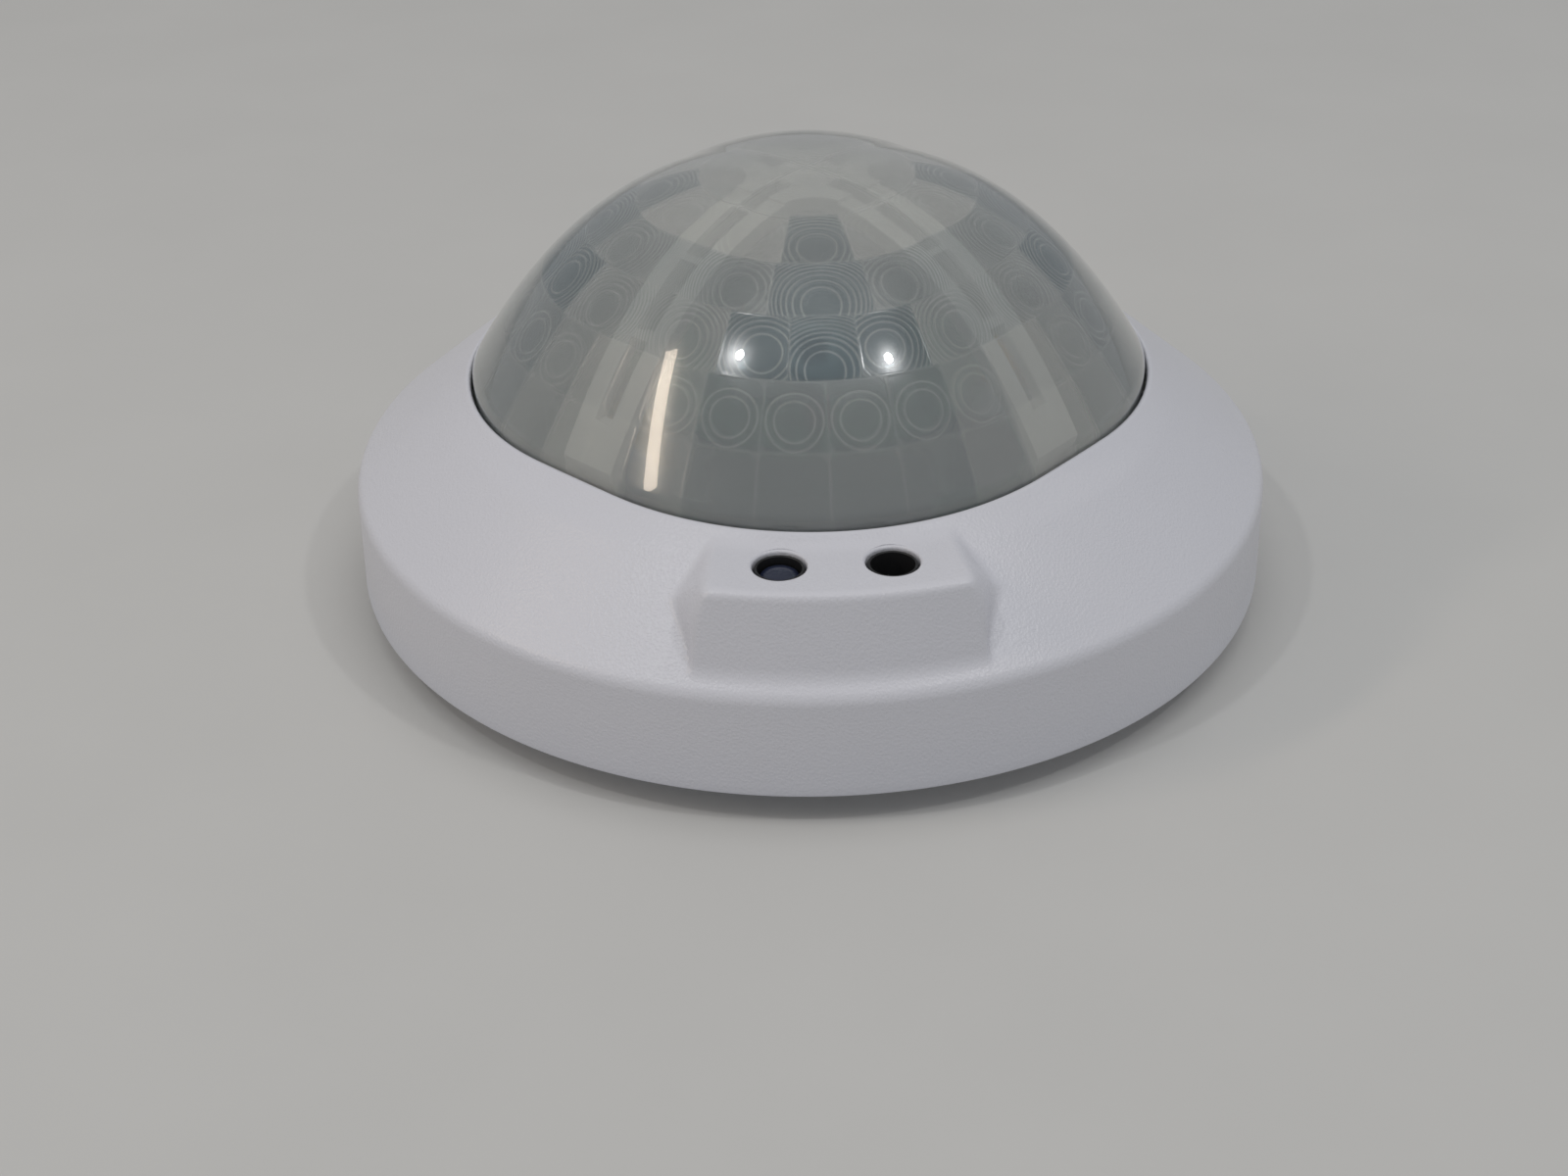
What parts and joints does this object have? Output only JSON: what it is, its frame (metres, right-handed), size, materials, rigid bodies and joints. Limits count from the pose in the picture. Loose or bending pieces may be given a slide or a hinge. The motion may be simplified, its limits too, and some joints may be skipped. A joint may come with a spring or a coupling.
{
  "type": "ceiling presence detector",
  "caption": "Round ceiling presence detector: white conical cover with a raised sensor pod and two holes, four-lobed translucent lens dome, twist-off head on a base plate.",
  "frame": {"origin": "centre of the base plate's ceiling face", "axes": "+Z out of the ceiling into the room, towards the top of the lens; the sensor pod is at -Y and +X is to its right as seen from the room"},
  "size_m": [0.12, 0.12, 0.0572],
  "materials": {
    "cover_plastic": "satin with a fine spark-eroded texture",
    "lens_plastic": "translucent, glossy outside, fine rings inside",
    "frame_plastic": "satin",
    "base_plastic": "fine matte",
    "seal_foam": "dull foam",
    "board_laminate": "solder mask",
    "terminal_plastic": "moulded",
    "contact_brass": "plain",
    "zinc_steel": "zinc plated",
    "sensor_can": "drawn can",
    "filter_glass": "dark filter",
    "sensor_blue": "dark blue resin",
    "black_plastic": "moulded",
    "ferrite": "ferrite and tape",
    "capacitor_yellow": "epoxy box",
    "capacitor_sleeve": "shrink sleeve",
    "varistor_blue": "dipped epoxy",
    "fuse_brown": "moulded",
    "spacer_nylon": "nylon",
    "led_red": "tinted resin",
    "knob_orange": "moulded",
    "button_red": "moulded"
  },
  "bodies": {
    "base": {"base_plate": "base_plastic"},
    "head": {"head_back_cover": "base_plastic", "housing_screws": "zinc_steel", "main_board": "board_laminate", "terminal_block": "terminal_plastic", "terminal_clamps": "contact_brass", "terminal_screws": "zinc_steel", "relay": "black_plastic", "transformer": "ferrite", "film_capacitor": "capacitor_yellow", "electrolytic_capacitor": "capacitor_sleeve", "varistor": "varistor_blue", "fuse": "fuse_brown", "controller_chip": "black_plastic", "board_link": "black_plastic", "board_spacers": "spacer_nylon", "pir_board": "board_laminate", "pir_holder": "frame_plastic", "pir_sensor_front": "sensor_can", "pir_sensor_right": "sensor_can", "pir_sensor_back": "sensor_can", "pir_sensor_left": "sensor_can", "pir_windows": "filter_glass", "status_led": "led_red", "sensor_stands": "black_plastic", "light_sensor": "sensor_blue", "ir_receiver": "filter_glass", "light_shield": "black_plastic", "trimmer_bodies": "spacer_nylon", "test_button_body": "black_plastic", "front_frame": "frame_plastic", "lens_frame": "frame_plastic", "lens_seal": "seal_foam", "lens_dome": "lens_plastic", "lens_retainer": "frame_plastic"},
    "cover": {"cover_ring": "cover_plastic"},
    "sensitivity": {"sensitivity_knob": "knob_orange"},
    "light_level": {"light_level_knob": "knob_orange"},
    "time_delay": {"time_delay_knob": "knob_orange"},
    "button": {"test_button": "button_red"}
  },
  "joints": [
    {"name": "head_twist", "type": "hinge", "parent": "base", "child": "head", "pos_m": [0, 0, 0.005], "axis": [0, 0, 1], "range_deg": [0, 18]},
    {"name": "cover_pull", "type": "slide", "parent": "head", "child": "cover", "axis": [0, 0, 1], "range_m": [0, 0.055]},
    {"name": "sensitivity_turn", "type": "hinge", "parent": "head", "child": "sensitivity", "pos_m": [-0.02961, -0.03929, 0.0182], "axis": [0, 0, 1], "range_deg": [-135, 135]},
    {"name": "light_level_turn", "type": "hinge", "parent": "head", "child": "light_level", "pos_m": [-0.02001, -0.04495, 0.0182], "axis": [0, 0, 1], "range_deg": [-135, 135]},
    {"name": "time_delay_turn", "type": "hinge", "parent": "head", "child": "time_delay", "pos_m": [0.02001, -0.04495, 0.0182], "axis": [0, 0, 1], "range_deg": [-135, 135]},
    {"name": "test_button_press", "type": "slide", "parent": "head", "child": "button", "axis": [0, 0, -1], "range_m": [0, 0.0005], "stiffness_N_per_m": 1600}
  ]
}
